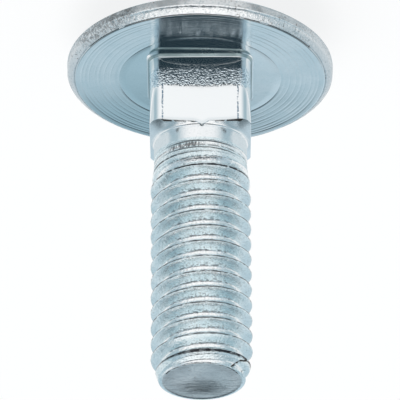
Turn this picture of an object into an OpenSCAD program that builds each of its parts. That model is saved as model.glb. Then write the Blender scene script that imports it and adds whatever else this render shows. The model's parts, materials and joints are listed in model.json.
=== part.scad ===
// Carriage bolt, M6 x 20: round domed head, square neck and a thread rolled up to the neck.
// The bolt stands on the crown of its head. The axis is Z, the crown is at z = 0 and the
// tip is at the top. Sizes are in millimetres.

/* [Head] */
// Diameter of the head
head_d = 15.8; // [13:0.1:18]
// Height of the head from the crown to the bearing face
head_h = 3.5; // [2.8:0.1:4.5]
// Height of the rim, bevel included
rim_h = 0.85; // [0.6:0.05:1.2]
// Diameter of the flat bearing face under the head
bearing_d = 14.9; // [12:0.1:15.5]
// Height of the bevel round the bearing face
bevel_h = 0.28; // [0.1:0.02:0.5]
// Diameter of the small flat on the crown
crown_flat_d = 2.4; // [1:0.1:3]

/* [Square neck] */
// Width across the flats of the neck
neck_w = 5.94; // [5.8:0.02:7]
// Depth of the neck under the head, measured on the flats
neck_depth = 4.5; // [3:0.1:5]
// Radius of the corners of the square
neck_corner_r = 0.8; // [0.4:0.05:1.2]
// Radius of the fillet between the neck and the head
neck_fillet = 0.35; // [0.15:0.05:0.6]
// Slope of the shoulder at the end of the neck, in degrees
shoulder_slope = 10; // [4:1:25]
// Lean of the shoulder towards the +Y side, in degrees
shoulder_lean = 3.5; // [0:0.5:5]

/* [Shank] */
// Length under the head
bolt_length = 20; // [14:0.5:60]
// Diameter of the rolled blank, which shows as a plain collar under the neck
blank_d = 5.44; // [5.2:0.02:5.6]
// Length of the plain collar between the neck and the first groove
collar_length = 0.95; // [0.4:0.05:2]

/* [Thread] */
// Diameter over the crests
thread_d = 5.88; // [5.7:0.02:6]
// Diameter at the roots
root_d = 4.66; // [4.5:0.02:5]
// Rise of the thread in one turn
pitch = 1; // [0.75:0.05:1.25]
// Height over which the first grooves deepen
runout_h = 2.2; // [0.5:0.1:3]
// Distance from the bearing face to the first crest, on the side that faces -Y
first_crest = 6.42; // [6:0.01:7]

/* [Tip] */
// Diameter of the end face
tip_d = 5; // [4.4:0.02:5.2]
// Slope of the tapered tip, in degrees from the end face
tip_slope = 70; // [45:1:75]
// Diameter of the shallow dish in the end face
dish_d = 3.6; // [1:0.1:4.2]
// Depth of the dish
dish_depth = 0.12; // [0.05:0.01:0.4]

/* [Quality] */
// Sides of the thread in one turn
thread_sides = 40; // [24:4:60]

/* [Hidden] */
$fn = 96;

zinc_colour = [0.74, 0.80, 0.83];

// Heights of the bearing face, the top of the dome's sphere band and the tip
bearing_z = head_h;
rim_z = head_h - rim_h;
tip_z = bearing_z + bolt_length;

// The dome is part of a sphere through the edge of the crown flat and the foot of the rim
crown_r = crown_flat_d / 2;
head_r = head_d / 2;
dome_centre_z = (head_r ^ 2 + rim_z ^ 2 - crown_r ^ 2) / (2 * rim_z);
dome_r = sqrt(crown_r ^ 2 + dome_centre_z ^ 2);

// The neck's flats, the corner's reach from the axis, and how far the neck enters the head
flat_r = neck_w / 2;
corner_centre = flat_r - neck_corner_r;
corner_reach = corner_centre * sqrt(2) + neck_corner_r;
neck_root = rim_h;
shoulder_z = bearing_z + neck_depth;

// Thread radii, the height where the grooves begin and how far the shank enters the neck
blank_r = blank_d / 2;
crest_r = thread_d / 2;
root_r = root_d / 2;
shank_root = 1;
shank_z = shoulder_z - shank_root;
groove_z = shoulder_z + collar_length;

// One turn of the profile in shares of the pitch: crest edges, then root edges.
// The flat on a crest is an eighth of the pitch wide and the flat in a root a quarter.
crest_flat = 1 / 8;
root_flat = 1 / 4;
marks = [-crest_flat / 2, crest_flat / 2, 1 / 2 - root_flat / 2, 1 / 2 + root_flat / 2];
on_crest = [true, true, false, false];
per_turn = len(marks);

// Height of the crest line where the first column of the thread starts, at angle 0
first_crest_z = bearing_z + first_crest + pitch / 4;
// Points nearer than this to the collar or the end face are left out
least_step = 0.03;

function clamp(x, low, high) = max(low, min(high, x));

// Share of its full form that the thread has at height z
function formed(z) = clamp((z - groove_z) / runout_h, 0, 1);

// Radius of the tip's cone at height z
function tip_cone_r(z) = tip_d / 2 + (tip_z - z) / tan(tip_slope);

// Height of thread line g at an angle, where the lines are numbered along the bolt
function line_z(g, angle) =
    first_crest_z + pitch * (floor(g / per_turn) + marks[g % per_turn] + angle / 360);

// Radius of thread line g at height z
function line_r(g, z) =
    let (full_r = on_crest[g % per_turn] ? crest_r : root_r)
    min(blank_r + (full_r - blank_r) * formed(z), tip_cone_r(z));

// Numbers of the lines that may show in one column
first_turn = floor((groove_z - first_crest_z) / pitch) - 2;
last_turn = ceil((tip_z - first_crest_z) / pitch) + 1;
turn_shift = max(0, -first_turn);

// The lines that cross the column at an angle between the collar and the end face
function lines_at(angle) = [
    for (g = [0 : (last_turn + turn_shift + 1) * per_turn - 1])
        let (z = line_z(g, angle) - turn_shift * pitch)
        if (z > groove_z + least_step && z < tip_z - least_step) g
];

// The column's points from the neck to the middle of the end face's rim, as [radius, z]
function column(angle, lines) = concat(
    [[blank_r, shank_z], [blank_r, groove_z]],
    [for (g = lines) let (z = line_z(g, angle) - turn_shift * pitch) [line_r(g, z), z]],
    [[tip_d / 2, tip_z], [dish_d / 2, tip_z]]
);

// Rounded square of a given width, made of two bars and four corner discs
module rounded_square(width, corner_r) {
    square([width, width - 2 * corner_r], center = true);
    square([width - 2 * corner_r, width], center = true);
    for (x = [-1, 1], y = [-1, 1])
        translate([x, y] * (width / 2 - corner_r))
            circle(corner_r);
}

// Half section of the head, with the axis at x = 0
module head_section() {
    intersection() {
        translate([0, dome_centre_z])
            circle(dome_r, $fn = 192);
        square([head_r + 1, rim_z]);
    }
    polygon([
        [0, rim_z / 2],
        [crown_r, rim_z / 2],
        [head_r, rim_z],
        [head_r, bearing_z - bevel_h],
        [bearing_d / 2, bearing_z],
        [0, bearing_z]
    ]);
}

module head() {
    rotate_extrude()
        head_section();
}

// Body that the end of the neck is cut to: a shallow cone that leaves the corners a little
// shorter than the flats. It leans about the upper edge of the flat on the -Y side.
module shoulder_cone() {
    ledge_r = (flat_r + blank_r) / 2;
    cone_r = corner_reach + 1;
    corner_drop = (cone_r - ledge_r) * tan(shoulder_slope);
    translate([0, -flat_r, shoulder_z])
        rotate([-shoulder_lean, 0, 0])
            translate([0, flat_r, -shoulder_z])
                rotate_extrude()
                    polygon([
                        [0, bearing_z - neck_root],
                        [cone_r, bearing_z - neck_root],
                        [cone_r, shoulder_z - corner_drop],
                        [ledge_r, shoulder_z],
                        [0, shoulder_z]
                    ]);
}

// Square neck with rounded corners
module neck() {
    intersection() {
        translate([0, 0, bearing_z - neck_root])
            linear_extrude(neck_root + neck_depth)
                rounded_square(neck_w, neck_corner_r);
        shoulder_cone();
    }
}

// Section of the fillet, standing on the bearing face with the neck's wall at x = 0
module fillet_section() {
    sunk = neck_fillet / 2;
    difference() {
        translate([-sunk, -sunk])
            square(neck_fillet + sunk);
        translate([neck_fillet, neck_fillet])
            circle(neck_fillet, $fn = 48);
        translate([neck_fillet, -sunk])
            square([neck_fillet, sunk]);
    }
}

// Fillet round the root of the neck: a strip along each flat and a quarter turn at each corner
module root_fillet() {
    for (side = [0 : 3])
        rotate(90 * side) {
            translate([flat_r, 0, bearing_z])
                rotate([90, 0, 0])
                    linear_extrude(2 * corner_centre, center = true)
                        fillet_section();
            translate([corner_centre, corner_centre, bearing_z])
                rotate_extrude(angle = 90)
                    translate([neck_corner_r, 0])
                        fillet_section();
        }
}

// Shank with a right-hand thread. Columns of points stand round the axis, and neighbouring
// columns are joined along the thread's lines, so that crests and roots run as clean helices.
module shank() {
    step = 360 / thread_sides;
    lines = [for (i = [0 : thread_sides - 1]) lines_at(i * step)];
    columns = [for (i = [0 : thread_sides - 1]) column(i * step, lines[i])];
    // Number of the first point of each column
    starts = [for (i = 0, n = 0; i <= thread_sides; n = n + (i < thread_sides ? len(columns[i]) : 0), i = i + 1) n];
    points = concat(
        [for (i = [0 : thread_sides - 1]) for (p = columns[i])
            [p[0] * cos(i * step), p[0] * sin(i * step), p[1]]],
        [[0, 0, tip_z - dish_depth]]
    );
    dish_centre = starts[thread_sides];
    // Faces between column i and the next one
    walls = [for (i = [0 : thread_sides - 1])
        let (
            next = (i + 1) % thread_sides,
            shift = next == 0 ? per_turn : 0,
            a = starts[i] + 2,
            b = starts[next] + 2,
            a_first = lines[i][0],
            a_last = lines[i][len(lines[i]) - 1],
            b_first = lines[next][0] - shift,
            b_last = lines[next][len(lines[next]) - 1] - shift,
            low = max(a_first, b_first),
            high = min(a_last, b_last),
            a_end = starts[i] + len(columns[i]) - 2,
            b_end = starts[next] + len(columns[next]) - 2
        )
        each concat(
            // Plain collar
            [[a - 2, a - 1, b - 1, b - 2]],
            // Lines that start at this edge of the thread
            [for (g = [b_first - 1 : 1 : low - 1]) [a - 1, b + g + 1 - b_first, b + g - b_first]],
            [[a - 1, a + low - a_first, b + low - b_first]],
            // Full turns
            [for (g = [low : 1 : high - 1]) each [
                [a + g - a_first, a + g + 1 - a_first, b + g - b_first],
                [a + g + 1 - a_first, b + g + 1 - b_first, b + g - b_first]
            ]],
            // Lines that run out at the end face
            [for (g = [high : 1 : a_last]) [a + g - a_first, a + g + 1 - a_first, b_end]],
            [[a + high - a_first, b_end, b + high - b_first]],
            // Rim of the end face and the dish
            [[a_end, a_end + 1, b_end + 1, b_end]],
            [[a_end + 1, dish_centre, b_end + 1]]
        )
    ];
    polyhedron(
        points = points,
        faces = concat([[for (i = [0 : thread_sides - 1]) starts[i]]], walls),
        convexity = 10
    );
}

module carriage_bolt() {
    color(zinc_colour)
        union() {
            head();
            neck();
            root_fillet();
            shank();
        }
}

carriage_bolt();
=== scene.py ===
"""Carriage bolt in bright zinc plate: domed head, square neck and rolled thread, standing on its head."""
import json
import logging
import math
from collections.abc import Callable
from dataclasses import dataclass, field
from enum import Enum

import bpy
from mathutils import Matrix, Vector, noise


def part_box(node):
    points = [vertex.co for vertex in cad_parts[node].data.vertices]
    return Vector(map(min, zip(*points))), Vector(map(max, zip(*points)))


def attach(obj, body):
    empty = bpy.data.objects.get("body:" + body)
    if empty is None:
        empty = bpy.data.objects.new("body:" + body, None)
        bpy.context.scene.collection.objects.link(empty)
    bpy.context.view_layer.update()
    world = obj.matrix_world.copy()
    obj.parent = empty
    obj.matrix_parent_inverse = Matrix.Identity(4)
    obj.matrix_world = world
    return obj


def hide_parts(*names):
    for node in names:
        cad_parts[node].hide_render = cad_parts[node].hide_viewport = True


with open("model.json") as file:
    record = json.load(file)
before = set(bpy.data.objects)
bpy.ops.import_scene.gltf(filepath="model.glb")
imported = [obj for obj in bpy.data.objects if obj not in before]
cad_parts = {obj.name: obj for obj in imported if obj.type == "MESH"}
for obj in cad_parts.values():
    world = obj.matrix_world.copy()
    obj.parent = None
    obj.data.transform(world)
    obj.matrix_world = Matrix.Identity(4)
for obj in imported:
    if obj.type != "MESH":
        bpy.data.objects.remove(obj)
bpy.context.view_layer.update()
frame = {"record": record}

MM = 0.001
TAU = 2 * math.pi
NODE = "carriage_bolt"

Span = tuple[float, float]
Plan = tuple[float, float]
Row = tuple[float, float, float]
Point = tuple[float, float, float]
Colour = tuple[float, float, float]
Socket = bpy.types.NodeSocket
log = logging.getLogger("carriage_bolt")


class Region(Enum):
    """Areas of the bolt that have a finish of their own, with their material index."""

    DOME = 0
    RIM = 1
    BEARING = 2
    NECK = 3
    SHOULDER = 4
    THREAD = 5
    END = 6
    WALL = 7
    # Painted shade in the notch of the bevel, the crease under the front flat, the laps and the step at the
    # tip
    PAINTED_SHADE = 8
    FLARE = 9


def clamp(value: float, low: float = 0.0, high: float = 1.0) -> float:
    """Hold a value between two limits."""
    return max(low, min(high, value))


def ease(start: float, end: float, value: float) -> float:
    """Rise smoothly from 0 at start to 1 at end.

    Args:
        start: Value at which the result is 0.
        end: Value at which the result is 1.
        value: The value looked up.

    Returns:
        A share between 0 and 1.
    """
    share = clamp((value - start) / (end - start))
    return share * share * (3 - 2 * share)


def soft_least(first: float, second: float, blend: float) -> float:
    """Take the smaller of two values with a rounded corner between them.

    Args:
        first: One value.
        second: The other value.
        blend: Width over which the corner is rounded.

    Returns:
        The smaller value, or a little less near the corner.
    """
    near = max(blend - abs(first - second), 0.0) / blend
    return min(first, second) - near * near * blend / 4


def rough(x: float, y: float, z: float, grain: float, seed: float = 0.0) -> float:
    """Give smooth noise between about -1 and 1.

    Args:
        x: First coordinate in metres.
        y: Second coordinate in metres.
        z: Third coordinate in metres.
        grain: Size of one lump in metres.
        seed: Offset that makes one pattern differ from another.

    Returns:
        The noise at that place.
    """
    return noise.noise(Vector((x / grain + seed, y / grain - seed, z / grain + 2 * seed)))


@dataclass(frozen=True)
class Column:
    """One line of points that runs along the bolt, from the crown to the tip."""

    angle: float
    base: Plan
    facing: Plan

    def on_neck(self, offset: float) -> Plan:
        """Find the point at an offset from the square that carries the neck's corners."""
        return self.base[0] + self.facing[0] * offset, self.base[1] + self.facing[1] * offset

    def on_circle(self, radius: float) -> Plan:
        """Find the point on a circle round the axis."""
        return radius * math.cos(self.angle), radius * math.sin(self.angle)


@dataclass(frozen=True)
class ColumnLayout:
    """Spacing of the columns: wide steps on the neck's flats, narrow ones round its corners."""

    flat_r: float
    corner_r: float
    steps_on_flat: int = 36
    steps_on_corner: int = 16

    @property
    def corner_centre(self) -> float:
        """Distance of a corner's centre from both middle planes."""
        return self.flat_r - self.corner_r

    def columns(self) -> list[Column]:
        """Lay out the columns once round the bolt, starting on the +X side.

        Returns:
            The columns in the order of their angles.
        """
        half = math.atan2(self.corner_centre, self.flat_r)
        quarter: list[Column] = []
        for step in range(self.steps_on_flat // 2):
            angle = half * step / (self.steps_on_flat // 2)
            quarter.append(Column(angle, (self.corner_centre, self.flat_r * math.tan(angle)), (1.0, 0.0)))
        for step in range(self.steps_on_corner):
            turn = math.pi / 2 * step / self.steps_on_corner
            facing = (math.cos(turn), math.sin(turn))
            x = self.corner_centre + self.corner_r * facing[0]
            y = self.corner_centre + self.corner_r * facing[1]
            quarter.append(Column(math.atan2(y, x), (self.corner_centre, self.corner_centre), facing))
        for step in range(self.steps_on_flat // 2, 0, -1):
            angle = half * step / (self.steps_on_flat // 2)
            quarter.append(Column(
                math.pi / 2 - angle, (self.flat_r * math.tan(angle), self.corner_centre), (0.0, 1.0)))
        layout: list[Column] = []
        for side, (cos, sin) in enumerate(((1, 0), (0, 1), (-1, 0), (0, -1))):
            for column in quarter:
                base, facing = ((x * cos - y * sin, x * sin + y * cos)
                                for x, y in (column.base, column.facing))
                layout.append(Column(column.angle + side * math.pi / 2, base, facing))
        return layout


class Skin:
    """One closed surface that the sub-assemblies sew together, ring by ring, from crown to tip."""

    def __init__(self, columns: list[Column]) -> None:
        """Start an empty surface.

        Args:
            columns: The columns that every ring has one point on.
        """
        self.columns = columns
        self.points: list[Point] = []
        self.faces: list[tuple[int, ...]] = []
        self.regions: list[int] = []
        self.edge: list[int] = []

    def add_points(self, points: list[Point]) -> list[int]:
        """Add points to the surface.

        Args:
            points: The points.

        Returns:
            Their numbers.
        """
        first = len(self.points)
        self.points.extend(points)
        return list(range(first, len(self.points)))

    def add_face(self, corners: tuple[int, ...], region: Region) -> None:
        """Add one face in a region's finish."""
        self.faces.append(corners)
        self.regions.append(region.value)

    def start(self, centre: Point, ring: list[Point], region: Region) -> None:
        """Close the crown with a fan of triangles and leave its ring open.

        Args:
            centre: Middle of the crown.
            ring: First ring round it.
            region: Finish of the fan.
        """
        middle = self.add_points([centre])[0]
        self.edge = self.add_points(ring)
        for here, after in self.pairs(self.edge):
            self.add_face((middle, after, here), region)

    def grow(self, ring: list[Point], region: Region) -> None:
        """Sew one more ring to the open edge.

        Args:
            ring: The ring's points, one on each column.
            region: Finish of the band between.
        """
        upper = self.add_points(ring)
        for (low, low_next), (high, high_next) in zip(self.pairs(self.edge), self.pairs(upper)):
            self.add_face((low, low_next, high_next, high), region)
        self.edge = upper

    def repaint(self, first: int, rule: Callable[[Point, int], int]) -> None:
        """Give faces another finish by where they lie.

        Args:
            first: Number of the first face that may change.
            rule: Takes a face's centre and its material index, and gives the new index.
        """
        for number in range(first, len(self.faces)):
            corners = [self.points[corner] for corner in self.faces[number]]
            centre = tuple(sum(corner[axis] for corner in corners) / len(corners) for axis in range(3))
            self.regions[number] = rule(centre, self.regions[number])

    def finish(self, centre: Point, region: Region) -> None:
        """Close the open edge with a fan of triangles.

        Args:
            centre: Middle of the end face.
            region: Finish of the fan.
        """
        middle = self.add_points([centre])[0]
        for here, after in self.pairs(self.edge):
            self.add_face((here, after, middle), region)

    @staticmethod
    def pairs(ring: list[int]) -> list[tuple[int, int]]:
        """List each number of a ring with the next one."""
        return list(zip(ring, ring[1:] + ring[:1]))


@dataclass
class MushroomHead:
    """Domed head with a straight rim, a bevelled edge and a turned bearing face."""

    head_r: float
    bearing_z: float
    crown_r: float = 1.2 * MM
    rim_h: float = 0.85 * MM
    bearing_r: float = 7.45 * MM
    bevel_h: float = 0.28 * MM
    edge_round: float = 0.05 * MM
    undercut: float = math.radians(1.1)
    lean: float = math.radians(0.8)
    turned_r: float = 4.45 * MM
    dome_rings: int = 26
    rim_wander: float = 0.035 * MM
    trim_width: float = 0.06 * MM
    # Where the painted shade in the notch fades out towards +Y, and the level of its noise
    notch_shade_fade: Span = (-5.2 * MM, -1.0 * MM)
    notch_shade_level: float = -0.40
    sway: float = 0.006 * MM
    sway_end: Span = (6.9 * MM, 7.4 * MM)
    face_step: float = 0.09 * MM
    inner_shares: tuple[float, ...] = (0.12, 0.3, 0.5, 0.7, 0.85, 0.96, 1.0)
    # Radius, depth and half width of each turned groove
    groove_rows: tuple[Row, ...] = (
        (4.80 * MM, 0.009 * MM, 0.055 * MM), (5.33 * MM, 0.003 * MM, 0.05 * MM),
        (5.70 * MM, 0.003 * MM, 0.05 * MM), (6.03 * MM, 0.0035 * MM, 0.05 * MM),
        (6.27 * MM, 0.002 * MM, 0.05 * MM), (6.60 * MM, 0.004 * MM, 0.05 * MM),
        (6.84 * MM, 0.002 * MM, 0.045 * MM), (7.05 * MM, 0.004 * MM, 0.05 * MM),
    )

    def dress(self, skin: Skin, neck_ring: list[Plan]) -> None:
        """Add the whole head up to the foot of the neck's fillet.

        Args:
            skin: The surface that grows.
            neck_ring: Plan points of the fillet's foot, one on each column.
        """
        self._dome(skin)
        self._rim(skin)
        self._bearing_face(skin, neck_ring)
        self._lean(skin)

    def _lean(self, skin: Skin) -> None:
        """Tip the head a little to one side of the shank, with its crown left on the floor.

        Args:
            skin: The surface, which holds only the head so far.
        """
        rim_z = self.bearing_z - self.rim_h
        for number, (x, y, z) in enumerate(skin.points):
            skin.points[number] = (x, y, z - x * math.tan(self.lean) * clamp(z / rim_z))

    def _ring(self, skin: Skin, radius: float, z: float, wander: float = 0.0) -> list[Point]:
        """Make a ring round the axis that may wander a little inwards.

        Args:
            skin: The surface whose columns are used.
            radius: Radius of the ring.
            z: Height of the ring.
            wander: Greatest distance that the ring strays.

        Returns:
            The ring's points.
        """
        ring: list[Point] = []
        for column in skin.columns:
            x, y = column.on_circle(radius)
            stray = 0.0
            if wander:
                lump = rough(x, y, z, 1.1 * MM, 3.0) + 0.6 * rough(x, y, z, 0.35 * MM, 8.0)
                stray = wander * clamp(0.5 + 0.7 * lump)
            x, y = column.on_circle(radius - stray)
            ring.append((x, y, z))
        return ring

    def _dome(self, skin: Skin) -> None:
        """Add the crown flat and the dome.

        Args:
            skin: The surface that grows.
        """
        rim_z = self.bearing_z - self.rim_h
        centre_z = (self.head_r ** 2 + rim_z ** 2 - self.crown_r ** 2) / (2 * rim_z)
        dome_r = math.hypot(self.crown_r, centre_z)
        skin.start((0.0, 0.0, 0.0), self._ring(skin, self.crown_r * 0.5, 0.0), Region.DOME)
        skin.grow(self._ring(skin, self.crown_r, 0.0), Region.DOME)
        first = math.asin(self.crown_r / dome_r)
        last = math.asin(self.head_r / dome_r)
        for step in range(1, self.dome_rings + 1):
            slope = first + (last - first) * step / self.dome_rings
            radius = dome_r * math.sin(slope)
            z = centre_z - dome_r * math.cos(slope)
            if step == self.dome_rings:
                radius -= self.edge_round * 0.3
            skin.grow(self._ring(skin, radius, z), Region.DOME)

    def _rim(self, skin: Skin) -> None:
        """Add the rim's wall, its bevel and the trimmed edge round the bearing face.

        Args:
            skin: The surface that grows.
        """
        wall_top = self.bearing_z - self.bevel_h
        wall_foot = self.bearing_z - self.rim_h
        soft = self.edge_round
        # Radius, height and share of the wander of each ring
        profile = [
            (self.head_r - 0.002 * MM, wall_foot + 0.06 * MM, 0.3),
            (self.head_r, wall_foot + 0.16 * MM, 0.6),
            (self.head_r, wall_foot + 0.30 * MM, 1.0),
            (self.head_r, wall_top - 0.14 * MM, 1.0),
            (self.head_r - 0.012 * MM, wall_top - 0.06 * MM, 1.0),
            (self.head_r - 0.05 * MM, wall_top - 0.005 * MM, 1.0),
            (self.head_r - 0.12 * MM, wall_top + 0.055 * MM, 1.0),
            (self.head_r - 0.22 * MM, wall_top + 0.135 * MM, 1.0),
            (self.bearing_r + 0.10 * MM, wall_top + 0.215 * MM, 0.9),
            (self.bearing_r + soft, wall_top + 0.25 * MM, 0.7),
            (self.bearing_r + 0.012 * MM, self.bearing_z - 0.028 * MM, 0.5),
            (self.bearing_r - 0.010 * MM, self.bearing_z - 0.045 * MM, 0.3),
            (self.bearing_r - 0.035 * MM, self.bearing_z - 0.010 * MM, 0.2),
        ]
        for number, (radius, z, share) in enumerate(profile):
            # The wall's finish is a darker copy of the rim's zinc: painted shade
            region = Region.WALL if number < 4 else Region.RIM
            if number == len(profile) - 2:
                notch = len(skin.faces)
            skin.grow(self._ring(skin, radius, z, self.rim_wander * share), region)
        # Painted shade in the notch inside the bevel
        skin.repaint(notch, self._paint_shade_in_notch)

    def _paint_shade_in_notch(self, centre: Point, index: int) -> int:
        """Darken the notch inside the bevel with painted shade, mostly on the -Y side.

        Args:
            centre: Middle of a face of the notch.
            index: Its material index.

        Returns:
            The index it gets.
        """
        x, y, z = centre
        # Noise that tells where the notch gets painted shade
        scale = rough(x, y, z, 0.7 * MM, 21.0) + 0.7 * rough(x, y, z, 0.22 * MM, 5.0)
        scale -= 1.3 * ease(*self.notch_shade_fade, y)
        return Region.PAINTED_SHADE.value if scale > self.notch_shade_level else index

    def face_z(self, radius: float) -> float:
        """Height of the bearing face at a radius, grooves left out."""
        return self.bearing_z - (self.bearing_r - radius) * math.tan(self.undercut)

    def _bearing_face(self, skin: Skin, neck_ring: list[Plan]) -> None:
        """Add the bearing face with its turned grooves, inwards to the neck.

        Args:
            skin: The surface that grows.
            neck_ring: Plan points of the fillet's foot, one on each column.
        """
        stations: list[Plan] = [(self.bearing_r - self.trim_width, 0.0)]
        for radius, depth, width in sorted(self.groove_rows, reverse=True):
            stations += [
                (radius + width, 0.0), (radius + 0.5 * width, 0.5 * depth), (radius, depth),
                (radius - 0.5 * width, 0.5 * depth), (radius - width, 0.0)]
        filled: list[Plan] = []
        for station in stations:
            if filled and filled[-1][0] - station[0] > self.face_step:
                gap = filled[-1][0] - station[0]
                parts = math.ceil(gap / self.face_step)
                for part in range(1, parts):
                    filled.append((filled[-1][0] - gap / parts, 0.0))
            filled.append(station)
        for radius, depth in filled:
            skin.grow(self._face_ring(skin, radius, depth), Region.BEARING)
        radius = filled[-1][0]
        for share in self.inner_shares:
            ring: list[Point] = []
            for column, foot in zip(skin.columns, neck_ring):
                x, y = column.on_circle(min(radius, self.turned_r))
                x += (foot[0] - x) * share
                y += (foot[1] - y) * share
                ring.append((x, y, self.face_z(math.hypot(x, y)) + self._sway(x, y)))
            skin.grow(ring, Region.BEARING)

    def _sway(self, x: float, y: float) -> float:
        """Give the small waviness that the cold heading leaves in the bearing face."""
        fade = 1 - ease(*self.sway_end, math.hypot(x, y))
        return fade * self.sway * (rough(x, y, 0.0, 2.6 * MM, 5.0) - 0.6)

    def _face_ring(self, skin: Skin, radius: float, depth: float) -> list[Point]:
        """Make one ring of the bearing face.

        Args:
            skin: The surface whose columns are used.
            radius: Radius of the ring.
            depth: Depth of the groove there.

        Returns:
            The ring's points.
        """
        ring: list[Point] = []
        for column in skin.columns:
            x, y = column.on_circle(radius)
            lift = self._sway(x, y) - depth * (0.75 + 0.5 * rough(x, y, 0.0, 1.8 * MM, 11.0))
            ring.append((x, y, min(self.face_z(radius) + lift, self.bearing_z)))
        return ring


@dataclass
class SquareNeck:
    """Square neck with a flared foot and a shallow shoulder down to the round collar."""

    flat_r: float
    bearing_z: float
    depth: float
    collar_r: float
    corner_r: float = 0.8 * MM
    foot_r: float = 3.6 * MM
    # How far each ring of the flare stands out, the same on the -Y side, and its height
    flare_rows: tuple[Row, ...] = (
        (0.1900 * MM, 0.0480 * MM, 0.0), (0.1500 * MM, 0.0475 * MM, 0.03 * MM),
        (0.1050 * MM, 0.0470 * MM, 0.08 * MM), (0.0700 * MM, 0.0430 * MM, 0.14 * MM),
        (0.0460 * MM, 0.0310 * MM, 0.19 * MM), (0.0280 * MM, 0.0180 * MM, 0.23 * MM),
        (0.0150 * MM, 0.0070 * MM, 0.28 * MM), (0.0050 * MM, 0.0010 * MM, 0.34 * MM), (0.0, 0.0, 0.42 * MM),
    )
    # Rings whose height lies in this span get the dark flare finish, which is painted shade
    flare_shade_span: Span = (0.10 * MM, 0.33 * MM)
    wall_shares: tuple[float, ...] = (0.06, 0.14, 0.24, 0.34, 0.46, 0.58, 0.70, 0.80, 0.88, 0.94)
    cone: float = math.radians(10)
    cone_r: float = 2.85 * MM
    tilt: float = math.radians(3.5)
    lean: float = math.radians(2.0)
    lean_z: float = 6.2 * MM
    edge: float = 0.05 * MM
    tongue_h: float = 0.24 * MM
    tongue_half: float = 0.42 * MM
    tongue_x: float = -0.1 * MM
    # Where the crease under the front flat gets painted shade, and the level of its noise
    crease_shade_y: float = -1.8 * MM
    crease_shade_span: Span = (0.45 * MM, 2.3 * MM)
    crease_shade_level: float = -0.28
    edge_drop: float = 0.005 * MM
    collar_rise: float = 0.06 * MM
    shoulder_out: float = 0.11 * MM
    shoulder_sink: float = 0.02 * MM
    shoulder_shares: tuple[float, ...] = (0.3, 0.6, 0.85)
    # How far each ring of the fillet stands out from the collar, and its height
    fillet_rows: tuple[Plan, ...] = (
        (0.06 * MM, 0.015 * MM), (0.025 * MM, 0.05 * MM), (0.006 * MM, 0.09 * MM), (0.0, 0.14 * MM))
    # How far each row of the rounded upper edge lies below the top and inside the wall
    edge_rows: tuple[Plan, ...] = ((1.0, 0.0), (0.45, 0.05), (0.12, 0.35), (0.0, 1.0))

    def foot(self, skin: Skin) -> list[Plan]:
        """Plan points of the flare's foot, one on each column."""
        return [point[:2] for point in self._flare_ring(skin, self.flare_rows[0], self.bearing_z)]

    def _flare_ring(self, skin: Skin, row: Row, face_z: float) -> list[Point]:
        """Make one ring of the flare, which is narrower on the side that faces -Y.

        Args:
            skin: The surface whose columns are used.
            row: How far the ring stands out, the same on the narrow side, and its height.
            face_z: Height of the bearing face.

        Returns:
            The ring's points.
        """
        wide, narrow, rise = row
        ring: list[Point] = []
        for column in skin.columns:
            out = wide + (narrow - wide) * ease(0.35, 0.95, -column.facing[1])
            ring.append(self._leant(*column.on_neck(self.corner_r + out), face_z + rise))
        return ring

    def _leant(self, x: float, y: float, z: float) -> Point:
        """Lean a point of the neck back a little, as the whole square does."""
        return x, y + (z - self.lean_z) * math.tan(self.lean), z

    def shoulder_z(self, x: float, y: float) -> float:
        """Height at which the shoulder starts above a point of the neck's wall.

        Args:
            x: Plan coordinate.
            y: Plan coordinate.

        Returns:
            The shoulder's height there.
        """
        tongue = self.tongue_h * max(0.0, 1 - abs(x - self.tongue_x) / self.tongue_half) if y < 0 else 0.0
        drop = max(0.0, math.hypot(x, y) - self.cone_r) * math.tan(self.cone)
        return self.bearing_z + self.depth - self.edge_drop - drop - self._fall(y) + tongue

    def _fall(self, y: float) -> float:
        """Tell how much lower the tilted shoulder lies at a distance behind the front flat."""
        return (y + self.flat_r) * math.tan(self.tilt)

    def dress(self, skin: Skin, face_z: float) -> None:
        """Add the flare, the walls and the shoulder.

        Args:
            skin: The surface that grows.
            face_z: Height of the bearing face at the flare's foot.
        """
        for row in self.flare_rows[1:]:
            on_flare = self.flare_shade_span[0] < row[2] < self.flare_shade_span[1]
            skin.grow(self._flare_ring(skin, row, face_z), Region.FLARE if on_flare else Region.NECK)
        walls = [column.on_neck(self.corner_r) for column in skin.columns]
        tops = [self.shoulder_z(x, y) for x, y in walls]
        root = face_z + self.flare_rows[-1][2]
        for share in self.wall_shares:
            skin.grow([self._leant(x, y, root + (top - root - self.edge) * share)
                       for (x, y), top in zip(walls, tops)], Region.NECK)
        for below, inward in self.edge_rows:
            ring: list[Point] = []
            for column, (x, y), top in zip(skin.columns, walls, tops):
                shrink = 1 - inward * self.edge / math.hypot(x, y)
                ring.append(self._leant(x * shrink, y * shrink, top - below * self.edge))
            skin.grow(ring, Region.NECK)
        self._shoulder(skin)

    def _paint_shade_in_crease(self, centre: Point, index: int) -> int:
        """Darken the crease under the edge of the front flat with painted shade.

        Args:
            centre: Middle of a face of the shoulder.
            index: Its material index.

        Returns:
            The index it gets.
        """
        x, y, z = centre
        near, far = self.crease_shade_span
        inside = y < self.crease_shade_y and near < abs(x - self.tongue_x) < far
        return Region.PAINTED_SHADE.value if inside and rough(x, y, z, 0.28 * MM, 9.0) > self.crease_shade_level else index

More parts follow.
